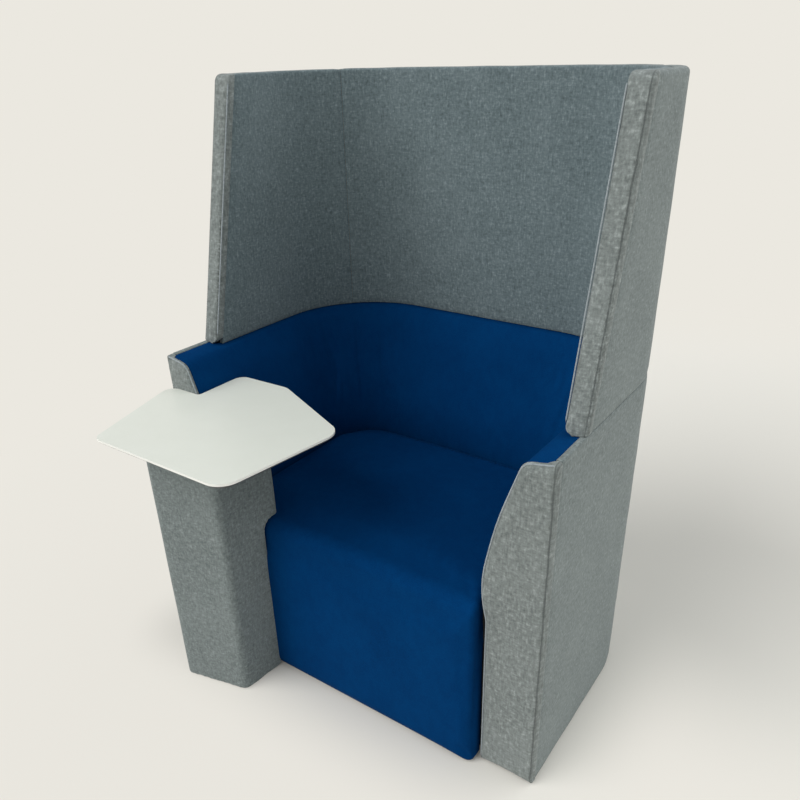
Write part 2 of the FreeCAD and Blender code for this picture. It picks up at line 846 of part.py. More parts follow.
dowels = []
for i, (x, y) in enumerate(dowel_places):
    dowel = doc.addObject("Part::Cylinder", f"dowel_{i + 1}")
    bind(dowel, "Radius", "dowel_radius")
    bind(dowel, "Height", "2 * (dowel_depth - seam_gap)")
    bind(dowel, "Placement.Base.x", x)
    bind(dowel, "Placement.Base.y", y)
    bind(dowel, "Placement.Base.z", "rim_height - dowel_depth + seam_gap")
    dowels.append(dowel)
nodes.append(group("screen_dowels", dowels))

screen_foot = "(rim_height + seam_gap)"
outer_form = wall_body(
    "screen_outer_form",
    "(0)",
    f"({core_face} - cloth_gap)",
    wing_foot,
    screen_foot,
    "screen_height - seam_gap",
)
core_slot = sketch(outer_form, "core_slot", "XY_Plane", "rim_height - seam_gap")
slot_front = f"({wing_foot} - edge_strip)"
outline(core_slot, wall_outline("(outer_pad - cloth_gap)", f"({core_face} + cloth_gap)", slot_front))
pocket(outer_form, core_slot, "screen_height - top_lap + seam_gap + cloth_gap", up=True)
rounded = round_edges(outer_form, outer_form.Tip, "pad_rounding", outside_edge(screen_top))
rake_cut(outer_form, "edge_strip + seam_gap")
in_three(outer_form, ("screen_outer_left", "screen_outer_back", "screen_outer_right"))

inner_wall = wall_body(
    "screen_inner_form",
    f"({core_face} + cloth_gap)",
    wall,
    wing_foot,
    f"({lip_z} + seam_gap)",
    f"{screen_top} - {lip_z} - seam_gap",
)


def inside_edge(level):
    """Picks the level edges at one height that run along the inside of the wall."""
    z = value(level)
    inset = value(wall)

    def wanted(edge):
        box = edge.BoundBox
        flat = box.ZLength < 0.01 and abs(box.ZMin - z) < 0.01
        within_side = max(abs(box.XMin), abs(box.XMax)) < value(side) - inset + 0.01
        within_back = box.YMax < value(back) - inset + 0.01
        return flat and edge.Length > inset * 2 and within_side and within_back

    return wanted


round_edges(inner_wall, inner_wall.Tip, "pad_rounding", inside_edge(screen_top))
rake_cut(inner_wall, "edge_strip + seam_gap")
in_three(inner_wall, ("screen_inner_left", "screen_inner_back", "screen_inner_right"))

# Wing edges: padded strips in pale heather over the raked ends of the wall.
for name, hand in (("left", "-"), ("right", "")):
    strip = body(f"wing_edge_{name}")
    plane_x = f"-{side}" if hand else f"({side} - {wall})"
    drawn = sketch(strip, f"wing_edge_{name}_profile", "YZ_Plane", plane_x)
    foot = f"({lip_z} - brow_drop)"
    lean = f"(wing_rake * ({foot} - rim_height) / screen_height)"
    outline(
        drawn,
        [
            (f"{wing_foot} + {lean}", foot),
            (f"{wing_foot} + edge_strip + {lean}", foot),
            (f"{wing_foot} + edge_strip + wing_rake", screen_top),
            (f"{wing_foot} + wing_rake", screen_top, "wing_corner"),
        ],
    )
    bar = pad(strip, drawn, wall)
    line = value(wing_foot)
    round_edges(
        strip,
        bar,
        "pad_rounding",
        lambda edge: edge.BoundBox.XLength < 0.01
        and (edge.BoundBox.ZLength > value("screen_height") / 2)
        and edge.BoundBox.YMin < line + value("edge_strip") / 2,
    )
    slope = arm_slope(strip, f"wing_edge_{name}_foot", hand, "seam_gap", above=False)
    pocket(strip, slope, f"{arm_top_end} - ({arm_front})", up=True)
    nodes.append(strip)


# Pillar: a hollow box of boards on a six-sided plan, notched over the seat's nose, in a
# padded sleeve. It stands on its own glide and is bolted to the left front post.
pillar_right = f"({pillar_left} + pillar_face)"
pillar_rear = f"({seat_front} + pillar_lap)"
pillar_inner = f"(-({side} - bulge_inset) + notch_clearance / 2)"
pillar_heel = f"({arm_front} - cloth_gap)"
plan_owner = body("pillar_plan_holder")
pillar_plan = sketch(plan_owner, "pillar_plan", "XY_Plane")
outline(
    pillar_plan,
    [
        (pillar_left, pillar_front, "pillar_rounding"),
        (pillar_right, f"{pillar_front} + pillar_skew", "pillar_rounding"),
        (f"{pillar_right} + pillar_flare", pillar_rear, "pillar_rear_rounding"),
        (pillar_inner, pillar_rear, "pillar_rear_rounding"),
        (pillar_inner, pillar_heel),
        (f"-{side} + pillar_heel_inset", pillar_heel, "pillar_rear_rounding"),
    ],
)
doc.recompute()


def inset_plan(name, inset):
    made = doc.addObject("Part::Offset2D", name)
    made.Source = pillar_plan
    made.Join = "Intersection"
    bind(made, "Value", f"-({inset})")
    return made


def seat_notch(name, margin):
    """The room that the seat and the apron need, grown by a margin."""
    made = body(name)
    drawn = sketch(made, name + "_profile", "YZ_Plane", f"-({seat_side} + notch_clearance / 2 + {margin})")
    face = f"({seat_front} - cloth_gap - {margin})"
    roof = f"(seat_height + notch_clearance + {margin})"
    outline(
        drawn,
        [
            (face, "-seat_height"),
            (f"{back} + {margin}", "-seat_height"),
            (f"{back} + {margin}", roof),
            (face, roof, "seat_nose"),
        ],
    )
    pad(made, drawn, f"{seat_side} + notch_clearance / 2 + {margin}")
    return made


table_underside = "(table_height - table_thickness)"
pillar_top = f"({table_underside} - plate_thickness)"
sleeve_height = f"{table_underside} - floor_gap - cloth_gap"
sleeve_prism = extrusion("sleeve_prism", pillar_plan, "floor_gap", sleeve_height)
carcass_plan = inset_plan("carcass_plan", "sleeve")
hollow_plan = inset_plan("hollow_plan", "sleeve + carcass_board")
board_plan = inset_plan("board_plan", "sleeve + carcass_board + cloth_gap")
carcass_prism = extrusion(
    "carcass_prism", carcass_plan, "base_rail_lift", f"{pillar_top} - base_rail_lift"
)
core_prism = extrusion("core_prism", carcass_plan, "0", "table_height")
hollow_prism = extrusion("hollow_prism", hollow_plan, "0", "table_height")
sleeve_body = boolean("Cut", "sleeve_body", sleeve_prism, seat_notch("sleeve_notch", "0"))
carcass_notch = seat_notch("carcass_notch", "sleeve")
core_body = boolean("Cut", "core_body", core_prism, carcass_notch)
nodes.append(boolean("Cut", "pillar_sleeve", sleeve_body, core_body))
carcass_body = boolean("Cut", "carcass_body", carcass_prism, carcass_notch)
hollow_notch = seat_notch("hollow_notch", "(sleeve + carcass_board)")
hollow_body = boolean("Cut", "hollow_body", hollow_prism, hollow_notch)
pillar_box = boolean("Cut", "pillar_box", carcass_body, hollow_body)

base_prism = extrusion("base_prism", board_plan, "base_rail_lift", "end_board")
base_notch = seat_notch("base_notch", "(sleeve + carcass_board + cloth_gap)")
base_slab = boolean("Cut", "base_slab", base_prism, base_notch)
glide_hole = doc.addObject("Part::Cylinder", "pillar_glide_bore")
bind(glide_hole, "Radius", "insert_radius + thread_clearance")
bind(glide_hole, "Height", "base_rail_lift + end_board")
bind(glide_hole, "Placement.Base.x", glide_places["pillar"][0])
bind(glide_hole, "Placement.Base.y", glide_places["pillar"][1])
nodes.append(boolean("Cut", "pillar_base_board", base_slab, glide_hole))

# Tablet: a laminate top on a steel plate, fixed by four screws through the pillar's top board.
plate_x = f"({pillar_mid_x})"
plate_y = f"({pillar_mid_y} + pillar_skew / 8)"
screw_places = [
    (f"{plate_x} {a} screw_pitch_x / 2", f"{plate_y} {b} screw_pitch_y / 2")
    for a in "+-"
    for b in "+-"
]
screws, screw_bores = [], []
for i, (x, y) in enumerate(screw_places):
    shank = doc.addObject("Part::Cylinder", f"screw_shank_{i + 1}")
    bind(shank, "Radius", "screw_radius")
    bind(shank, "Height", "end_board + plate_thickness + screw_bite")
    head = doc.addObject("Part::Cylinder", f"screw_head_{i + 1}")
    bind(head, "Radius", "screw_head_radius")
    bind(head, "Height", "screw_head_height")
    hole = doc.addObject("Part::Cylinder", f"screw_bore_{i + 1}")
    bind(hole, "Radius", "screw_radius + thread_clearance")
    bind(hole, "Height", "end_board + plate_thickness + screw_bite + cloth_gap")
    for piece, lift in ((shank, "0"), (head, "-screw_head_height"), (hole, "0")):
        bind(piece, "Placement.Base.x", x)
        bind(piece, "Placement.Base.y", y)
        bind(piece, "Placement.Base.z", f"{pillar_top} - end_board + {lift}")
    screws.append(boolean("Fuse", f"table_screw_{i + 1}", shank, head))
    screw_bores.append(hole)
nodes.append(group("table_screws", screws))
bore_group = group("screw_bore_group", screw_bores)

top_prism = extrusion("top_prism", board_plan, f"{pillar_top} - end_board", "end_board")
nodes.append(boolean("Cut", "pillar_top_board", top_prism, bore_group))

plate = slab(
    "table_plate_form",
    rectangle(
        f"{plate_x} - plate_width / 2",
        f"{plate_x} + plate_width / 2",
        f"{plate_y} - plate_depth / 2",
        f"{plate_y} + plate_depth / 2",
    ),
    pillar_top,
    "plate_thickness",
)
nodes.append(boolean("Cut", "table_plate", plate, bore_group))

table = body("table_form")
table_front = f"({seat_front} - table_reach)"
arm_line = f"({arm_front} - table_gap)"
arm_face = f"(-({side} - (brow_inset + waist_inset) / 2) + 3 * table_gap)"
drawn = sketch(table, "table_plan", "XY_Plane", table_underside)
outline(
    drawn,
    [
        (f"-{side} + table_left_front", table_front, "table_side_radius"),
        (f"-{side} + table_left_front + table_width", table_front, "table_front_radius"),
        (f"-{side} + table_right_reach", f"{seat_front} + table_right_back", "table_front_radius"),
        (f"-{side} + table_rear_inset", f"{seat_front} + table_rear_back", "table_front_radius"),
        (arm_face, f"{seat_front} + table_arm_back", "table_side_radius"),
        (arm_face, arm_line, "pillar_rear_rounding"),
        (f"-{side}", arm_line, "table_side_radius"),
    ],
)
top = pad(table, drawn, "table_thickness")
under = value(table_underside)
bevel = table.newObject("PartDesign::Chamfer", "table_underbevel")
bevel.Base = (
    top,
    [
        f"Edge{i}"
        for i, edge in enumerate(top.Shape.Edges, start=1)
        if edge.BoundBox.ZLength < 0.01 and abs(edge.BoundBox.ZMin - under) < 0.01
    ],
)
bind(bevel, "Size", "table_bevel")
table.Tip = bevel
doc.recompute()
nodes.append(boolean("Cut", "table_top", table, bore_group))

# Bolts from inside the pillar through the arm front into the post.
bolt_x = f"(-{side} + bolt_inset)"
bolt_start = f"({pillar_heel} - sleeve - carcass_board)"
bolts, bolt_bores = [], []
for i in range(2):
    height = f"(bolt_low + {i} * bolt_pitch)"
    shank = doc.addObject("Part::Cylinder", f"bolt_shank_{i + 1}")
    bind(shank, "Radius", "bolt_radius")
    bind(shank, "Height", "bolt_length")
    head = doc.addObject("Part::Cylinder", f"bolt_head_{i + 1}")
    bind(head, "Radius", "bolt_head_radius")
    bind(head, "Height", "bolt_head_height")
    hole = doc.addObject("Part::Cylinder", f"bolt_bore_{i + 1}")
    bind(hole, "Radius", "bolt_radius + dowel_clearance")
    bind(hole, "Height", "bolt_length + seam_gap")
    for piece, shift in ((shank, "0"), (head, "-bolt_head_height"), (hole, "0")):
        piece.Placement.Rotation = Rotation(Vector(1, 0, 0), -90)
        bind(piece, "Placement.Base.x", bolt_x)
        bind(piece, "Placement.Base.y", f"{bolt_start} + {shift}")
        bind(piece, "Placement.Base.z", height)
    bolts.append(boolean("Fuse", f"pillar_bolt_{i + 1}", shank, head))
    bolt_bores.append(hole)
nodes.append(group("pillar_bolts", bolts))
bolt_group = group("bolt_bore_group", bolt_bores)
nodes.append(boolean("Cut", "pillar_carcass", pillar_box, bolt_group))


def drill(label, tool):
    """Cuts a node's bores and gives the result the node's name."""
    plain = [node for node in nodes if node.Label == label][0]
    plain.Label = label + "_undrilled"
    place = nodes.index(plain)
    nodes[place] = boolean("Cut", label + "_drilled", plain, tool)
    nodes[place].Label = label


for label in ("front_post_left", "arm_facing_left", "pillar_sleeve"):
    drill(label, bolt_group)

# Dust cover: a thin black sheet under the frame, with room for the insert flanges.
cover_side, cover_back = f"({frame_side} - seam_gap)", f"({frame_back} - seam_gap)"
cover = slab(
    "dust_cover",
    [
        (f"-{cover_side}", f"{facing_back} + seam_gap"),
        (cover_side, f"{facing_back} + seam_gap"),
        (cover_side, arc_y),
        (arc_x, cover_back),
        (f"-{arc_x}", cover_back),
        (f"-{cover_side}", arc_y),
    ],
    "base_rail_lift - dust_cover - cloth_gap",
    "dust_cover",
)
drawn = sketch(cover, "flange_openings", "XY_Plane", "base_rail_lift - dust_cover - cloth_gap")
frame_glides = [place for spot, place in glide_places.items() if spot != "pillar"]
circles(drawn, frame_glides, "insert_flange_radius + seam_gap")
pocket(cover, drawn, "dust_cover", up=True)
nodes.append(cover)

# Every feature is checked before anything is written.
doc.recompute()
for thing in doc.Objects:
    if "Invalid" in thing.State or "Error" in thing.State:
        raise RuntimeError(f"{thing.Label} did not build: {thing.State}")
for node in nodes:
    if node.Shape.isNull() or not node.Shape.isValid() or node.Shape.Volume <= 0:
        raise RuntimeError(f"{node.Label} has no sound shape")

os.makedirs("parts", exist_ok=True)
for node in nodes:
    node.Shape.exportStep(f"parts/{node.Label}.step")
    box = node.Shape.BoundBox
    print(
        f"{node.Label:22s} {len(node.Shape.Solids):2d} solids"
        f" x {box.XMin:7.1f} {box.XMax:7.1f} y {box.YMin:7.1f} {box.YMax:7.1f}"
        f" z {box.ZMin:7.1f} {box.ZMax:7.1f}"
    )
print(len(nodes), "nodes")
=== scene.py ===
import math

import bpy
import numpy as np
from mathutils import Matrix, Vector


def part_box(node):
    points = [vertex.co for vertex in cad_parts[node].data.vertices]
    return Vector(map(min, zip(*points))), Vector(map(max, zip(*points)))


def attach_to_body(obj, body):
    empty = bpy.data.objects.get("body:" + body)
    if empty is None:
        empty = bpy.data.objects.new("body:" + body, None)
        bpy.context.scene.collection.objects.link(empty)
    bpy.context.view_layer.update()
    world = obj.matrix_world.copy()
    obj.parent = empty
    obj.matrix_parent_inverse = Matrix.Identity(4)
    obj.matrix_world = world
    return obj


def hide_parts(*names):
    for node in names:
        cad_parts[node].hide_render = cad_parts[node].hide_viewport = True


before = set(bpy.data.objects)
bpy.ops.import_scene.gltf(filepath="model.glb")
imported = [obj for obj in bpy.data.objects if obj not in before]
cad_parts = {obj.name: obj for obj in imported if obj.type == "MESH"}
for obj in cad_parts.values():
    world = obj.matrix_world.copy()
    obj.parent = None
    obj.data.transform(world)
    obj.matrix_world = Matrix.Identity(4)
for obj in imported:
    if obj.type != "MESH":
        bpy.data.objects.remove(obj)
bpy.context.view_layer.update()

scene = bpy.context.scene
scene.view_settings.view_transform = "Standard"


# Studio: the camera stands to the right of the chair and above it, on an 800 by 800 picture.
# It is turned from straight back towards the left, tipped down and rolled a little. The main
# light comes from the front and left, and a second one from high behind on the right.
camera_place = (0.9212, -1.2491, 1.4208)
picture_width, focal_length = 800, 750.5  # pixels
turn, dip, roll = math.radians(35.632), math.radians(27.898), math.radians(-1.559)
ahead = Vector((-math.sin(turn) * math.cos(dip), math.cos(turn) * math.cos(dip), -math.sin(dip)))
rightward = Vector((math.cos(turn), math.sin(turn), 0))
upward = rightward.cross(ahead)
across = math.cos(roll) * rightward + math.sin(roll) * upward
above = math.cos(roll) * upward - math.sin(roll) * rightward
camera = bpy.data.objects.new("camera", bpy.data.cameras.new("camera"))
scene.collection.objects.link(camera)
camera_turn = Matrix((across, above, -ahead)).transposed().to_4x4()
camera.matrix_world = Matrix.Translation(camera_place) @ camera_turn
camera.data.sensor_width = 36
camera.data.lens = 36 * focal_length / picture_width
camera.data.shift_y = 0.06
scene.camera = camera

for name, power, spread, tilt, heading, colour in (
    ("front_light", 2.15, 50, 51, -32, (1.0, 1.0, 1.0)),
    ("rear_light", 1.5, 80, 52, 120, (0.97, 1.0, 1.0)),
):
    lamp = bpy.data.objects.new(name, bpy.data.lights.new(name, "SUN"))
    scene.collection.objects.link(lamp)
    lamp.data.energy = power
    lamp.data.color = colour
    lamp.data.angle = math.radians(spread)
    lamp.rotation_euler = (math.radians(tilt), 0, math.radians(heading))


class Thread:
    """A socket in one finish, so that its pattern is written as arithmetic."""

    def __init__(self, tree, socket):
        self.tree = tree
        self.socket = socket

    def node(self, kind, settings, sockets, output=0):
        made = self.tree.nodes.new("ShaderNode" + kind)
        for setting, chosen in settings.items():
            setattr(made, setting, chosen)
        for socket, given in sockets.items():
            if isinstance(given, Thread):
                self.tree.links.new(given.socket, made.inputs[socket])
            else:
                made.inputs[socket].default_value = given
        return Thread(self.tree, made.outputs[output])

    def maths(self, operation, *others):
        sockets = dict(enumerate((self, *others)))
        return self.node("Math", {"operation": operation}, sockets)

    def __add__(self, other):
        return self.maths("ADD", other)

    def __sub__(self, other):
        return self.maths("SUBTRACT", other)

    def __mul__(self, other):
        return self.maths("MULTIPLY", other)

    def __rsub__(self, other):
        return self * -1.0 + other

    __radd__ = __add__
    __rmul__ = __mul__

    def size(self):
        return self.maths("ABSOLUTE")

    def distance(self, other):
        """The length of the two as the sides of a right angle."""
        return (self * self + other * other).maths("SQRT")

    def axis(self, number):
        return self.node("SeparateXYZ", {}, {0: self}, number)

    def stretched(self, x, y, z):
        return self.node("VectorMath", {"operation": "MULTIPLY"}, {0: self, 1: (x, y, z)})

    def noise(self, scale, detail=2.0, roughness=0.5):
        sockets = {"Vector": self, "Scale": scale, "Detail": detail, "Roughness": roughness}
        return self.node("TexNoise", {}, sockets)

    def step(self, low, high):
        """0 below low, 1 above high, and a soft rise between."""
        sockets = {0: self, 1: low, 2: high, 3: 0.0, 4: 1.0}
        return self.node("MapRange", {"interpolation_type": "SMOOTHSTEP"}, sockets)

    def between(self, first, second):
        """The colour that stands this far from the first to the second."""
        return self.node("Mix", {"data_type": "RGBA"}, {0: self, 6: first, 7: second}, 2)

    def bump(self, strength, depth):
        """Relief of this height, depth metres deep at full strength."""
        return self.node("Bump", {}, {"Height": self, "Strength": strength, "Distance": depth})


def start_finish(name):
    """A new material: its shader, and its pattern space in metres."""
    made = bpy.data.materials.new(name)
    made.use_nodes = True
    tree = made.node_tree
    place = Thread(tree, tree.nodes.new("ShaderNodeTexCoord").outputs["Object"])
    return made, tree.nodes["Principled BSDF"], place


def dress(shader, place, sockets):
    """Sets the shader's sockets, by value or by pattern."""
    for socket, given in sockets.items():
        if isinstance(given, Thread):
            place.tree.links.new(given.socket, shader.inputs[socket])
        else:
            shader.inputs[socket].default_value = given


def tint(red, green, blue):
    """A colour written in the 0 to 255 steps of a screen."""
    steps = [step / 255 for step in (red, green, blue)]
    return (*[s / 12.92 if s < 0.04045 else ((s + 0.055) / 1.055) ** 2.4 for s in steps], 1.0)


# Floor and backdrop: one even pale sweep. Under the chair and behind it the floor is lit and
# takes the shadow. Further off, and soon in front of the chair, it turns into the backdrop.
backdrop = tint(235, 232, 224)
daylight = (0.37, 0.376, 0.388, 1.0)
shadow_x, shadow_y = 0.5, 0.8  # the middle of the chair's shadow
half_width, middle_y, half_depth = 0.5, 0.124, 0.356  # the chair's body on the floor
world = bpy.data.worlds.new("studio")
scene.world = world
world.use_nodes = True
rays = world.node_tree.nodes.new("ShaderNodeLightPath")
seen = Thread(world.node_tree, rays.outputs["Is Camera Ray"])
for ray in ("Is Glossy Ray", "Is Transmission Ray"):
    seen = seen.maths("MAXIMUM", Thread(seen.tree, rays.outputs[ray]))
fill = world.node_tree.nodes["Background"]
seen.tree.links.new(seen.between(daylight, backdrop).socket, fill.inputs["Color"])

bpy.ops.mesh.primitive_plane_add(size=40, location=(0, 0, 0))
floor = bpy.context.object
floor.name = "floor"
paper, shader, place = start_finish("studio_floor")
cloud = place.noise(0.8)
dress(
    shader,
    place,
    {
        "Base Color": cloud.between(tint(228, 225, 217), tint(225, 222, 214)),
        "Roughness": 0.9,
        "Specular IOR Level": 0.0,
    },
)
glow = place.node("Emission", {}, {"Color": backdrop})
rays = place.tree.nodes.new("ShaderNodeLightPath")
x, y = place.axis(0), place.axis(1)
far = (x - shadow_x).distance(y - shadow_y).step(1.5, 2.6)
beside_x = (x.size() - half_width).maths("MAXIMUM", 0.0)
beside_y = ((y - middle_y).size() - half_depth).maths("MAXIMUM", 0.0)
clear = beside_x.distance(beside_y).step(-0.05, 0.24)
in_front = 1 - (x * 0.35 + y * 0.94).step(0.2, 0.75)
beyond = far.maths("MAXIMUM", clear * in_front * 0.85)
beyond = beyond * Thread(place.tree, rays.outputs["Is Camera Ray"])
sweep = place.node("MixShader", {}, {0: beyond, 1: Thread(place.tree, shader.outputs[0]), 2: glow})
place.tree.links.new(sweep.socket, place.tree.nodes["Material Output"].inputs["Surface"])
floor.data.materials.append(paper)


# Timber frame: two rings of planed rails and four posts, glued and screwed, hidden in the chair.
# The rails lie along the chair's sides and the posts stand, so the grain runs both ways.
def give(thing, material):
    """One finish on a CAD piece or a new one."""
    thing.data.materials.clear()
    thing.data.materials.append(material)


beech, shader, place = start_finish("planed_timber")
rings = place.stretched(1.0, 1.0, 0.25).noise(55.0, 3.0, 0.55)
flecks = place.stretched(0.5, 0.5, 1.0).noise(900.0, 1.0).step(0.62, 0.7)
wood = rings.step(0.3, 0.7).between(tint(202, 163, 117), tint(226, 193, 150))
dress(
    shader,
    place,
    {
        "Base Color": (flecks * 0.5).between(wood, tint(160, 117, 78)),
        "Roughness": 0.5 + rings * 0.2,
        "Normal": rings.bump(0.2, 0.001),
    },
)
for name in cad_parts:
    if name.startswith(("base_", "seat_rail", "seat_brace", "front_post", "rear_post")):
        give(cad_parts[name], beech)


# Plywood shells and the pillar's boards: veneers pressed round a former, and plain particle
# board, screwed together and sawn to size. All of it is covered in the finished chair. A band of
# the tub's rim is painted near black as painted shade, where a sliver of it shows in the gap under
# the wings.
veneer, shader, place = start_finish("bent_plywood")
figure = place.stretched(1.0, 1.0, 0.12).noise(40.0, 4.0, 0.6)
plies = figure.step(0.3, 0.7).between(tint(190, 150, 104), tint(222, 190, 146))
height = place.axis(2)
# Painted shade: the rim from 770 to 804 mm up is painted near black for the shade in the gap under
# the wings.
painted_gap_shade = height.step(0.770, 0.776) * (1 - height.step(0.801, 0.804))
dress(
    shader,
    place,
    {
        "Base Color": painted_gap_shade.between(plies, tint(36, 36, 38)),
        "Roughness": 0.55 + figure * 0.15,
        "Normal": figure.bump(0.15, 0.0008),
    },
)
for name in ("tub_core", "screen_core"):
    give(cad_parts[name], veneer)
raw_board, shader, place = start_finish("raw_board")
chips = place.noise(320.0, 3.0, 0.7)
dress(
    shader,
    place,
    {
        "Base Color": chips.step(0.35, 0.65).between(tint(158, 128, 92), tint(196, 168, 128)),
        "Roughness": 0.7 + chips * 0.2,
        "Normal": chips.bump(0.3, 0.0006),
    },
)
for name in ("pillar_carcass", "pillar_base_board", "pillar_top_board"):
    give(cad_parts[name], raw_board)


# Seat webbing: three woven elastic straps from side to side under five from front to back,
# stapled on the rails. Each is a flat band that dips a little between its ends.
def only(thing):
    """Leaves one object selected and active."""
    bpy.ops.object.select_all(action="DESELECT")
    thing.select_set(True)
    bpy.context.view_layer.objects.active = thing


def points_of(thing):
    return np.array([vertex.co for vertex in thing.data.vertices])


def put_points(thing, points):
    thing.data.vertices.foreach_set("co", np.asarray(points, dtype=float).ravel())
    thing.data.update()


def add_modifier(thing, kind, **settings):
    """Adds a modifier and applies it."""
    only(thing)
    made = thing.modifiers.new(kind.lower(), kind)
    for setting, chosen in settings.items():
        setattr(made, setting, chosen)
    bpy.ops.object.modifier_apply(modifier=made.name)


def grid(name, columns, rows):
    """A flat grid, and each vertex's column and row."""
    bpy.ops.mesh.primitive_grid_add(x_subdivisions=columns, y_subdivisions=rows, size=2)
    made = bpy.context.object
    made.name = name
    points = points_of(made)
    column = np.rint((points[:, 0] + 1) / 2 * columns).astype(int)
    row = np.rint((points[:, 1] + 1) / 2 * rows).astype(int)
    return made, column, row


def joined(pieces, name):
    only(pieces[0])
    for piece in pieces:
        piece.select_set(True)
    bpy.ops.object.join()
    pieces[0].name = name
    return pieces[0]


def attach(piece, material):
    """Gives a finished piece its cloth and its place on the chair."""
    give(piece, material)
    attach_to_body(piece, "chair")


def settle(piece, slot, material, *nodes):
    """Attaches a piece that stands for CAD pieces."""
    attach(piece, material)
    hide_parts(*nodes)


elastic, shader, place = start_finish("woven_elastic")
rib = place.stretched(1.0, 1.0, 0.0).noise(700.0, 1.0)
dress(
    shader,
    place,
    {
        "Base Color": rib.step(0.4, 0.6).between(tint(34, 34, 36), tint(74, 72, 70)),
        "Roughness": 0.65 + rib * 0.2,
        "Normal": rib.bump(0.4, 0.0006),
    },
)
webs_low, webs_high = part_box("seat_webbing")
strap_width, strap_thickness, strap_dip = 0.060, 0.0018, 0.004
lower_level, upper_level = 0.0008, 0.0036
straps, strap_lengths = [], 0.0
for sideways, middles in (
    (True, (-0.0885, 0.0125, 0.1135)),
    (False, (-0.168, -0.084, 0.0, 0.084, 0.168)),
):
    for middle in middles:
        strap, column, row = grid("strap", 48, 6)
        start, stop = (webs_low.x, webs_high.x) if sideways else (webs_low.y, webs_high.y)
        along = start + (stop - start) * column / 48
        beside = middle + strap_width * (row / 6 - 0.5)
        height = webs_low.z + (lower_level if sideways else upper_level)
        height = height - strap_dip * np.sin(math.pi * column / 48)
        x, y = (along, beside) if sideways else (beside, along)
        put_points(strap, np.column_stack((x, y, height)))
        add_modifier(strap, "SOLIDIFY", thickness=strap_thickness, offset=1)
        straps.append(strap)
        strap_lengths += stop - start
webbing = joined(straps, "webbing_straps")
settle(webbing, "webbing", elastic, "seat_webbing")


# Linings: a thin black non-woven cloth stapled under the frame, cut off along the rear braces
# and round the glides, and a strip of it up the frame's front on each side of the apron.
nonwoven, shader, place = start_finish("black_nonwoven")
felted = place.noise(420.0, 3.0, 0.7)
dress(
    shader,
    place,
    {
        "Base Color": felted.step(0.35, 0.7).between(tint(22, 22, 24), tint(40, 40, 42)),
        "Roughness": 0.85 + felted * 0.1,
        "Normal": felted.bump(0.3, 0.0004),
    },
)
lining_level, lining_thickness = 0.0007, 0.0005
cut_start, glide_hole = 0.215, 0.0125
under_low, under_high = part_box("dust_cover")
lining, column, row = grid("dust_lining", 60, 60)
x = under_low.x + (under_high.x - under_low.x) * column / 60
rear_edge = under_high.y - np.maximum(np.abs(x) - cut_start, 0)
y = under_low.y + (rear_edge - under_low.y) * row / 60
ripple = 0.0002 * np.sin(x * 90) * np.sin(y * 70)
put_points(lining, np.column_stack((x, y, under_low.z + lining_level + ripple)))
add_modifier(lining, "SOLIDIFY", thickness=lining_thickness, offset=0)
for spot in ("front_left", "front_right", "rear_left", "rear_right"):
    foot_low, foot_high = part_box(f"glide_foot_{spot}")
    middle = (foot_low + foot_high) / 2
    bpy.ops.mesh.primitive_cylinder_add(
        vertices=32, radius=glide_hole, depth=0.02, location=(middle.x, middle.y, under_low.z)
    )
    punch = bpy.context.object
    add_modifier(lining, "BOOLEAN", object=punch, operation="DIFFERENCE")
    bpy.data.objects.remove(punch)
settle(lining, "lining", nonwoven, "dust_cover")
strips = []
strip_inner_x, strip_width, strip_front = 0.345, 0.0245, -0.18712
strip_low, strip_high = 0.024, 0.440
for sign in (-1, 1):
    strip, column, row = grid("front_strip", 4, 40)
    x = sign * (strip_inner_x + strip_width * column / 4)
    z = strip_low + (strip_high - strip_low) * row / 40
    y = np.full(len(x), strip_front) + 0.00003 * np.sin(z * 60)
    put_points(strip, np.column_stack((x, y, z)))
    add_modifier(strip, "SOLIDIFY", thickness=0.0001, offset=0)
    strips.append(strip)
front_lining = joined(strips, "front_lining")
attach(front_lining, nonwoven)


# Tub covers: grey felted heather over foam, glued round the outside of the plywood in three
# panels that are sewn together down the middle of each rear corner.
def heather(name, dark, middle, light, size=1.0, depth=0.001, line=None):
    """Felted wool of three yarn colours, brushed so that its weave hardly shows. Where a line
    is given, it is a sewn one that puckers the cloth: it takes the space and gives the
    distance to the stitching in metres."""
    made, shader, place = start_finish(name)
    tuft = place.noise(150.0 / size, 4.0, 0.66)
    upright = place.stretched(1.0, 1.0, 0.25).noise(300.0 / size, 3.0, 0.62)
    flat = place.stretched(0.25, 0.25, 1.0).noise(300.0 / size, 3.0, 0.62)
    weave = tuft * 0.4 + upright * 0.33 + flat * 0.27
    shade = place.noise(6.0, 3.0, 0.6)
    ground = weave.step(0.34, 0.55).between(dark, middle)
    ground = (weave.step(0.5, 0.68) * 0.85).between(ground, light)
    ground = (shade.step(0.35, 0.75) * 0.14).between(ground, light)
    relief = weave
    if line:
        near = line(place)
        stitched = 1 - near.step(0.0004, 0.0016)
        ground = (stitched * 0.75).between(ground, dark)
        pucker = place.stretched(0.25, 0.25, 1.0).noise(95.0, 1.0)
        relief = weave * 0.7 + pucker * (1 - near.step(0.001, 0.012)) * 1.6 - stitched * 1.2
    dress(
        shader,
        place,
        {
            "Base Color": ground,
            "Roughness": 0.84 + tuft * 0.14,
            "Normal": relief.bump(0.5, depth),
            "Sheen Weight": 0.15,
            "Sheen Roughness": 0.6,
            "Specular IOR Level": 0.15,
        },
    )
    return made


outer_felt = heather("outer_felt", tint(84, 93, 92), tint(114, 123, 122), tint(151, 160, 158))

side_x, back_y, corner = 0.5, 0.48, 0.285
arc_x, arc_y = side_x - corner, back_y - corner
wing_foot, wing_top, strip_depth = -0.086, 0.055, 0.022
rim, screen_top, mid_screen = 0.800, 1.385, 1.1
wing_lean = (wing_top - wing_foot) / (screen_top - rim)


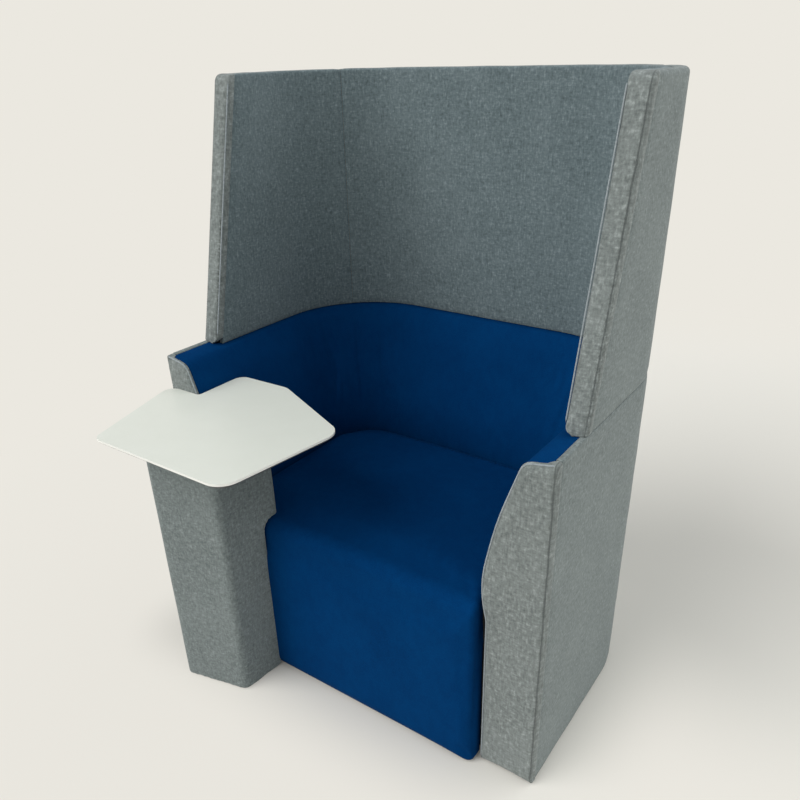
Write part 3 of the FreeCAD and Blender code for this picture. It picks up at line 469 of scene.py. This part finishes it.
def wrapped(name, part, profile, front, thickness, step=0.0075, seam=0.0016):
    """A foam and cloth panel bent round the wall. part is left, back or right, profile runs up
    the panel's face as (inset from the chair's outside, height) with the way that its pad
    lies, and front gives the panel's front end at a height."""
    inset, height, pad_x, pad_z = np.array(profile).T
    rows = len(profile) - 1
    straight = arc_x * 2 if part == "back" else arc_y - front(mid_screen)
    flat_count, arc_count = round(straight / step), round(corner * math.pi / 4 / step)
    columns = flat_count + arc_count * (2 if part == "back" else 1)
    made, column, row = grid(name, columns, rows)
    run = column - arc_count if part == "back" else column
    share = np.clip(run / flat_count, 0, 1)
    # The panel draws in where it is sewn, and stands full and a little uneven between.
    seam_reach, unevenness = 0.009, 0.00035
    climb = np.concatenate(([0], np.cumsum(np.hypot(np.diff(inset), np.diff(height)))))
    to_end = np.minimum(column, columns - column) * step
    to_edge = np.minimum(climb[row], climb[-1] - climb[row])
    pull = seam * np.exp(-((np.minimum(to_end, to_edge) / seam_reach) ** 2))
    wave = np.sin(column * 0.31 + row * 0.13) * np.sin(row * 0.23 - column * 0.07)
    pull += unevenness * (1 + wave)
    radius = corner - inset[row] - pull * pad_x[row]
    z = height[row] + pull * pad_z[row]
    if part == "back":
        turned = np.clip(-run, 0, arc_count) + np.clip(run - flat_count, 0, arc_count)
        angle = math.pi / 2 - turned / arc_count * math.pi / 4
        hand = np.where(run < flat_count / 2, 1.0, -1.0)
        x = arc_x * (1 - 2 * share) + hand * radius * np.cos(angle)
        y = arc_y + radius * np.sin(angle)
    else:
        hand = 1.0 if part == "right" else -1.0
        first = np.array([front(level) for level in height])[row]
        angle = np.clip(run - flat_count, 0, arc_count) / arc_count * math.pi / 4
        x = hand * (arc_x + radius * np.cos(angle))
        y = first + (arc_y - first) * share + radius * np.sin(angle)
    put_points(made, np.column_stack((x, y, z)))
    # The pad goes on the side that the normals point away from.
    face = made.data.polygons[len(made.data.polygons) // 2]
    outward = Vector((face.center.x, face.center.y - 0.1, 0))
    if face.normal.dot(outward) * profile[0][2] < 0:
        made.data.flip_normals()
    add_modifier(made, "SOLIDIFY", thickness=thickness, offset=-1)
    sharp = math.radians(50)
    add_modifier(made, "BEVEL", width=0.0022, segments=2, limit_method="ANGLE", angle_limit=sharp)
    only(made)
    bpy.ops.object.shade_smooth_by_angle(angle=math.radians(60))
    return made


def upright_run(inset, low, high, pad_side, step=0.0075):
    """Profile points straight up the wall, with the pad lying towards pad_side."""
    count = round((high - low) / step)
    return [(inset, low + (high - low) * i / count, pad_side, 0.0) for i in range(count + 1)]


arm_front, facing_depth = -0.205, 0.018
hem, cover_top, seam_gap, padding = 0.0050, 0.7990, 0.0002, 0.0130
for part in ("left", "back", "right"):
    cover = wrapped(
        f"tub_panel_{part}",
        part,
        upright_run(0.0, hem, cover_top, 1.0),
        lambda height: arm_front + facing_depth + seam_gap,
        padding,
    )
    settle(cover, "cover_grey", outer_felt, f"tub_cover_{part}")


# Inner upholstery: moulded foam on the arms and back under one continuous cover of deep blue
# wool, as the cloth shows no seam in the rear corners. It is pulled over the edge of the arm
# fronts as far as their welt, and it crowns between the places where it is held.
def wool(name, dark, light):
    """Fine plain-woven wool with a faint nap. Its lowest few millimetres, close to the floor, are
    painted near black as painted contact shade under the hem.
    """
    made, shader, place = start_finish(name)
    warp = place.stretched(1.0, 1.0, 0.3).noise(950.0, 1.0)
    weft = place.stretched(0.3, 1.0, 1.0).noise(900.0, 1.0)
    weave = warp * 0.5 + weft * 0.5
    brushed = place.stretched(1.0, 1.0, 0.6).noise(60.0, 3.0, 0.6)
    shade = place.noise(7.0, 3.0, 0.6)
    lightness = weave.step(0.38, 0.62) * 0.5 + shade.step(0.3, 0.7) * 0.3
    ground = (lightness + brushed.step(0.35, 0.65) * 0.2).between(dark, light)
    # Painted shade: below about 9 mm from the floor the cover turns near black, for the contact
    # shade under the hem.
    painted_hem_shade = 1 - place.axis(2).step(0.0065, 0.0095)
    dress(
        shader,
        place,
        {
            "Base Color": painted_hem_shade.between(ground, tint(26, 25, 27)),
            "Roughness": 0.8 + weave * 0.15,
            "Normal": (weave * 0.7 + brushed * 0.3).bump(0.3, 0.0006),
            "Sheen Weight": 0.02,
            "Sheen Roughness": 0.5,
            "Sheen Tint": tint(40, 110, 190),
            "Specular IOR Level": 0.03,
        },
    )
    return made


blue_wool = wool("blue_wool", tint(0, 44, 89), tint(1, 58, 108))


def draw_in(piece, inset):
    """Moves a piece's surface inwards, or outwards where inset is less than nothing."""
    normals = np.array([vertex.normal for vertex in piece.data.vertices])
    put_points(piece, points_of(piece) - normals * inset)


def merged(piece):
    """Joins a piece's loose triangles and turns them all outwards."""
    only(piece)
    bpy.ops.object.mode_set(mode="EDIT")
    bpy.ops.mesh.select_all(action="SELECT")
    bpy.ops.mesh.remove_doubles(threshold=0.00002)
    bpy.ops.mesh.normals_make_consistent(inside=False)
    bpy.ops.object.mode_set(mode="OBJECT")


joint_lap = 0.0012


def skin(name, nodes, voxel, inset=0.0):
    """An even skin on the form of one or more CAD pieces, drawn in by inset. Where there are
    more, each is first grown by a lap, so that no joint between them stays open."""
    lap = joint_lap if len(nodes) > 1 else 0.0
    copies = []
    for node in nodes:
        copy = bpy.data.objects.new(name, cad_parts[node].data.copy())
        scene.collection.objects.link(copy)
        merged(copy)
        draw_in(copy, -lap)
        copies.append(copy)
    made = joined(copies, name)
    made.data.remesh_voxel_size = voxel
    made.data.remesh_voxel_adaptivity = 0
    bpy.ops.object.voxel_remesh()
    draw_in(made, lap + inset)
    return made


last_frame = 20


def blow_up(piece, resting, pressure, cap):
    """Fills a cover against its held parts, and lets no point go further than cap."""
    start = points_of(piece)
    normals = np.array([vertex.normal for vertex in piece.data.vertices])
    held = piece.vertex_groups.new(name="held")
    held.add([int(i) for i in np.flatnonzero(resting(start, normals))], 1.0, "REPLACE")
    cloth = piece.modifiers.new("cloth", "CLOTH")
    cloth.settings.use_pressure = True
    cloth.settings.uniform_pressure_force = pressure
    cloth.settings.vertex_group_mass = "held"
    cloth.settings.effector_weights.gravity = 0
    cloth.settings.quality = 3
    for number in range(1, last_frame + 1):
        scene.frame_set(number)
    filled = piece.evaluated_get(bpy.context.evaluated_depsgraph_get())
    shift = np.array([vertex.co for vertex in filled.data.vertices]) - start
    piece.modifiers.remove(cloth)
    scene.frame_set(1)
    length = np.maximum(np.linalg.norm(shift, axis=1, keepdims=True), 1e-9)
    put_points(piece, start + shift * np.minimum(1, cap / length))
    piece.vertex_groups.clear()
    only(piece)
    bpy.ops.object.shade_smooth()


def inset_of(points):
    """How far points lie inside the outside of the chair."""
    x = np.maximum(np.abs(points[:, 0]) - arc_x, 0)
    y = np.maximum(points[:, 1] - arc_y, 0)
    return corner - np.hypot(x, y)


glue_depth, glue_top = 0.031, 0.78
screen_foot, screen_front, facing_rear = 0.786, -0.062, -0.19


def inner_held(points, normals):
    """The places where the blue cover is glued on the shell, lies under the screen, or is tucked
    in at its lower edge and behind the arm fronts."""
    glued = (inset_of(points) < glue_depth) & (points[:, 2] < glue_top)
    screened = (points[:, 2] > screen_foot) & (points[:, 1] > screen_front)
    under_screen = screened & (normals[:, 2] > 0.5)
    tucked = (normals[:, 2] < -0.6) | ((normals[:, 1] < -0.6) & (points[:, 1] < facing_rear))
    return glued | under_screen | tucked


pads = ("arm_pad_left", "back_cushion", "arm_pad_right")
upholstery = skin("inner_upholstery", pads, voxel=0.0066, inset=0.0006)
lap_start, lap_stretch = -0.150, 0.346
points = points_of(upholstery)
points[:, 1] -= lap_stretch * np.maximum(lap_start - points[:, 1], 0)
put_points(upholstery, points)
blow_up(upholstery, inner_held, pressure=2.6, cap=0.0045)
add_modifier(upholstery, "SUBSURF", levels=1, render_levels=1)
settle(upholstery, "cover_blue", blue_wool, *pads)


# Seat: a foam slab and front apron in one cover that falls from the seat's nose to the floor,
# and ends a few millimetres above it like the other covers.
hang, hang_top, hang_height = 0.005, 0.030, 0.020


def let_down(piece):
    """Lets a cover hang below its board, by stretching its lowest part."""
    points = points_of(piece)
    points[:, 2] -= hang * np.clip((hang_top - points[:, 2]) / hang_height, 0, 1)
    put_points(piece, points)


def under_or_behind(points, normals):
    return (normals[:, 2] < -0.6) | (normals[:, 1] > 0.6)


seat = skin("seat_cover", ("seat_cushion",), voxel=0.007, inset=0.0008)
let_down(seat)
blow_up(seat, under_or_behind, pressure=3.5, cap=0.006)
add_modifier(seat, "SUBSURF", levels=1, render_levels=1)
settle(seat, "cover_blue", blue_wool, "seat_cushion")


# Arm fronts: boards cut to the arm's profile, wrapped in a coarse pale heather and edged with
# a welt against the blue cover. The welt's cloth is a lighter, bluer copy of the heather, as a
# painted highlight along the edge.
stitch_line = 0.4945


def corner_seam(place):
    """Distance to the stitching beside the outer corner, which wanders by a millimetre."""
    wander = (place.noise(38.0, 2.0) - 0.5) * 0.003
    return (place.axis(0).size() - stitch_line + wander).size()


melange = tint(87, 93, 91), tint(119, 126, 124), tint(163, 170, 167)
pale_heather = heather("pale_heather", *melange, size=1.3, depth=0.0012, line=corner_seam)
# Painted highlight: the welt cloth is lighter and bluer than the heather, for the light caught
# along the edges.
welt_highlight_yarns = tint(122, 130, 133), tint(150, 158, 161), tint(174, 182, 184)
highlit_welt_cloth = heather("highlit_welt_cloth", *welt_highlight_yarns, size=0.6)


def unit(arrows):
    return arrows / np.linalg.norm(arrows, axis=1, keepdims=True)


def welt(name, route, radius):
    """A round welt along a route, drawn in to a point at its ends."""
    made, column, row = grid(name, len(route) - 1, 8)
    along = unit(np.gradient(route, axis=0))
    side = unit(np.cross(along, (0, 1, 0)))
    other = np.cross(along, side)
    angle = (row / 8 * math.tau)[:, None]
    swell = np.where((column == 0) | (column == len(route) - 1), 0.0, radius)[:, None]
    spoke = side[column] * np.cos(angle) + other[column] * np.sin(angle)
    put_points(made, route[column] + swell * spoke)
    merged(made)
    bpy.ops.object.shade_smooth()
    return made


welt_inset = 0.0012


def front_outline(node):
    """The inner and top outline of an arm front's flat face, as (x, z) every 5 mm from its foot
    to its outer corner, moved outwards by welt_inset. Its points are put in order by their
    angle about a hub inside the arm."""
    hub_x, hub_z, last_angle = 0.45, 0.40, math.radians(83.65)
    points = points_of(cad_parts[node])
    flat = np.abs(points[points[:, 1] < points[:, 1].min() + 0.00001][:, (0, 2)])
    angle = np.arctan2(flat[:, 1] - hub_z, flat[:, 0] - hub_x)
    angle = np.where(angle < -math.pi / 2, angle + math.tau, angle)
    ring = flat[np.argsort(-angle)][: (angle > last_angle).sum()]
    run = np.concatenate(([0], np.cumsum(np.linalg.norm(np.diff(ring, axis=0), axis=1))))
    places = np.linspace(0, run[-1], round(run[-1] / 0.005))
    route = np.column_stack([np.interp(places, run, ring[:, k]) for k in (0, 1)])
    along = unit(np.gradient(route, axis=0))
    return route + welt_inset * np.column_stack((-along[:, 1], along[:, 0]))


lap_corner, lap_foot, thinning = 0.484, 0.335, 0.7


def thinned(points):
    """Thins an arm front to 5 mm where the blue cover laps over its edge."""
    from_corner = np.clip((lap_corner - np.abs(points[:, 0])) / 0.006, 0, 1)
    from_foot = np.clip((points[:, 2] - lap_foot) / 0.02, 0, 1)
    y = arm_front + (points[:, 1] - arm_front) * (1 - thinning * (from_corner * from_foot))
    return np.column_stack((points[:, 0], y, points[:, 2]))


def behind(points, normals):
    return normals[:, 1] > 0.5


for hand, sign in (("left", -1), ("right", 1)):
    board = skin(f"arm_front_{hand}", (f"arm_facing_{hand}",), voxel=0.0042, inset=0.0003)
    put_points(board, thinned(points_of(board)))
    let_down(board)
    blow_up(board, behind, pressure=2.0, cap=0.0025)
    settle(board, "cover_pale", pale_heather, f"arm_facing_{hand}")
    edge = front_outline(f"arm_facing_{hand}")
    y = np.full(len(edge), arm_front + 0.0010)
    route = np.column_stack((sign * edge[:, 0], y, edge[:, 1]))
    attach(welt(f"arm_welt_{hand}", route, radius=0.0018), highlit_welt_cloth)


# Screen: the same felt on both faces of its own plywood. The outer panels turn over the top
# edge, and the inner ones stand behind them. The inner felt is a darker, bluer copy of the outer
# one, as painted shade inside the screen.
# Painted shade: the inner faces get a darker copy of the outer felt.
shaded_inner_felt = heather("shaded_inner_felt", tint(74, 87, 90), tint(101, 115, 118), tint(136, 149, 152))
lip, inner_face, panel_gap, panel_padding = 0.7912, 0.046, 0.0005, 0.0115


def wing_front(height):
    """The front of the wings, which lean back."""
    return wing_foot + wing_lean * (height - rim)


def panel_front(height):
    return wing_front(height) + strip_depth + panel_gap


outer_roll, inner_roll = 0.011, 0.006
outer_flap, inner_flap = 0.0165, 0.011


def rolled(inset, radius, pad_side, flap_length):
    """Profile points that roll over the screen's top edge and end in a flap."""
    turns = [math.radians(22.5 * i) for i in range(1, 4)]
    bend = [
        (
            inset + pad_side * radius * (1 - math.cos(a)),
            screen_top - radius * (1 - math.sin(a)),
            pad_side * math.cos(a),
            -math.sin(a),
        )
        for a in turns
    ]
    flap = [inset + pad_side * (radius + flap_length * i / 4) for i in range(5)]
    return bend + [(depth, screen_top, 0.0, -1.0) for depth in flap]


for part in ("left", "back", "right"):
    profile = upright_run(0.0, rim + panel_gap, screen_top - outer_roll, 1.0)
    profile += rolled(0.0, outer_roll, 1.0, outer_flap)
    cover = wrapped(f"screen_shell_{part}", part, profile, panel_front, panel_padding)
    settle(cover, "cover_grey", outer_felt, f"screen_outer_{part}")
    profile = upright_run(inner_face, lip + panel_gap, screen_top - inner_roll, -1.0)
    profile += rolled(inner_face, inner_roll, -1.0, inner_flap)
    cover = wrapped(
        f"screen_lining_{part}", part, profile, panel_front, panel_padding, seam=0.0026
    )
    settle(cover, "cover_grey", shaded_inner_felt, f"screen_inner_{part}")


# Wing edges: padded strips of the coarse heather over the raked ends of the screen, rounded at
# the foot and sewn beside the outer corner with a seam that puckers.
strip_inner, foot_radius = 0.454, 0.014


def round_foot(points):
    """Rounds the inner corner at the foot of a strip."""
    x, z = np.abs(points[:, 0]), points[:, 2]
    hub_x, hub_z = strip_inner + foot_radius, rim + panel_gap + foot_radius
    reach = np.maximum(np.hypot(x - hub_x, z - hub_z), 1e-6)
    in_corner = (x < hub_x) & (z < hub_z)
    squeeze = np.where(in_corner, np.minimum(1, foot_radius / reach), 1)
    x = np.sign(points[:, 0]) * (hub_x + (x - hub_x) * squeeze)
    return np.column_stack((x, points[:, 1], hub_z + (z - hub_z) * squeeze))


stitch_gap, stitch_shape = 0.006, (0.0005, 0.0005, 0.0021, 1)


def stitches(name, start, stop):
    """A row of small stitches from start to stop."""
    start, stop = Vector(start), Vector(stop)
    run = stop - start
    bpy.ops.object.select_all(action="DESELECT")
    bpy.ops.mesh.primitive_uv_sphere_add(segments=6, ring_count=5, radius=1)
    made = bpy.context.object
    made.name = name
    turned = run.to_track_quat("Z", "Y").to_matrix().to_4x4()
    made.data.transform(Matrix.Translation(start) @ turned @ Matrix.Diagonal(stitch_shape))
    count = int(run.length / stitch_gap)
    add_modifier(
        made,
        "ARRAY",
        count=count,
        use_relative_offset=False,
        use_constant_offset=True,
        constant_offset_displace=run / count,
    )
    only(made)
    bpy.ops.object.shade_smooth()
    return made


thread_yarns = tint(70, 75, 76), tint(96, 102, 102), tint(128, 134, 133)
thread_grey = heather("thread_grey", *thread_yarns, size=0.3)
for hand, sign in (("left", -1), ("right", 1)):
    strip = skin(f"wing_strip_{hand}", (f"wing_edge_{hand}",), voxel=0.0035, inset=0.0003)
    put_points(strip, round_foot(points_of(strip)))
    add_modifier(strip, "SMOOTH", factor=0.5, iterations=3)
    blow_up(strip, behind, pressure=2.0, cap=0.002)
    settle(strip, "cover_pale", pale_heather, f"wing_edge_{hand}")
    z = np.arange(rim + 0.016, screen_top - 0.016, 0.008)
    x = np.full(len(z), sign * (strip_inner + 0.0007))
    route = np.column_stack((x, wing_front(z) + 0.0013, z))
    # The wing welt takes the same painted highlight colour.
    attach(welt(f"wing_welt_{hand}", route, radius=0.0015), highlit_welt_cloth)
    x = sign * stitch_line
    seam_ends = [(x, wing_front(z) + 0.0004, z) for z in (rim + 0.010, screen_top - 0.012)]
    attach(stitches(f"wing_stitches_{hand}", *seam_ends), thread_grey)
    seam_ends = [(x, arm_front + 0.0003, z) for z in (0.016, 0.770)]
    attach(stitches(f"arm_stitches_{hand}", *seam_ends), thread_grey)


# Pillar: a box of boards in a thin padded sleeve of the grey felt, glued on, notched over the
# seat. The felt lies a little unevenly on its foam.
sleeve = skin("pillar_cover", ("pillar_sleeve",), voxel=0.005, inset=0.0005)
let_down(sleeve)
points = points_of(sleeve)
normals = np.array([vertex.normal for vertex in sleeve.data.vertices])
x, y, z = points.T
wave = np.sin(z * 23 + x * 31) * np.sin(x * 47 + y * 29 + 1)
unevenness = 0.0006
put_points(sleeve, points + normals * (unevenness * wave)[:, None])
only(sleeve)
bpy.ops.object.shade_smooth()
settle(sleeve, "cover_grey", outer_felt, "pillar_sleeve")


# Tablet: a board faced with satin white laminate, its edge painted whiter as a painted highlight
# and its underbevel painted grey as painted shade, on a black steel plate that four screws hold to
# the pillar's top board.
laminate, shader, place = start_finish("white_laminate")
geometry = place.tree.nodes.new("ShaderNodeNewGeometry")
facing_up = Thread(place.tree, geometry.outputs["Normal"]).axis(2)
# Painted highlight: faces that turn away from straight up are painted whiter. Painted shade: faces
# turned down are painted grey.
edge = 1 - facing_up.step(0.5, 0.9)
painted_underside_shade = 1 - facing_up.step(-0.6, -0.2)
peel = place.noise(500.0, 2.0)
smudge = place.noise(14.0, 3.0, 0.6)
face = smudge.between(tint(221, 224, 215), tint(216, 219, 209))
white = edge.between(face, tint(240, 240, 233))
dress(
    shader,
    place,
    {
        "Base Color": painted_underside_shade.between(white, tint(72, 70, 68)),
        "Roughness": 0.34 + smudge * 0.08,
        "Normal": peel.bump(0.06, 0.0003),
    },
)
give(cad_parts["table_top"], laminate)

coat, shader, place = start_finish("black_powder_coat")
grit = place.noise(900.0, 2.0)
dress(
    shader,
    place,
    {
        "Base Color": grit.between(tint(20, 20, 21), tint(34, 34, 35)),
        "Roughness": 0.5 + grit * 0.15,
        "Normal": grit.bump(0.3, 0.0003),
    },
)
give(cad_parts["table_plate"], coat)


# Fasteners and glides: zinc-plated steel studs, inserts, dowels, screws and bolts, and black
# nylon feet moulded on the studs, lightly textured and scuffed.
plating, shader, place = start_finish("zinc_plating")
haze = place.noise(260.0, 2.0)
dress(
    shader,
    place,
    {
        "Base Color": haze.between(tint(176, 180, 184), tint(206, 208, 208)),
        "Metallic": 1.0,
        "Roughness": 0.28 + haze * 0.2,
    },
)
nylon, shader, place = start_finish("black_nylon")
spark = place.noise(1200.0, 2.0)
scuff = place.noise(140.0, 3.0, 0.7).step(0.55, 0.75)
dress(
    shader,
    place,
    {
        "Base Color": scuff.between(tint(24, 24, 25), tint(52, 51, 50)),
        "Roughness": 0.5 + scuff * 0.25,
        "Normal": spark.bump(0.25, 0.0002),
    },
)
plated = ("glide_stud", "glide_inserts", "screen_dowels", "table_screws", "pillar_bolts")
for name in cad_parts:
    if name.startswith("glide_foot"):
        give(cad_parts[name], nylon)
    if name.startswith(plated):
        give(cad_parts[name], plating)
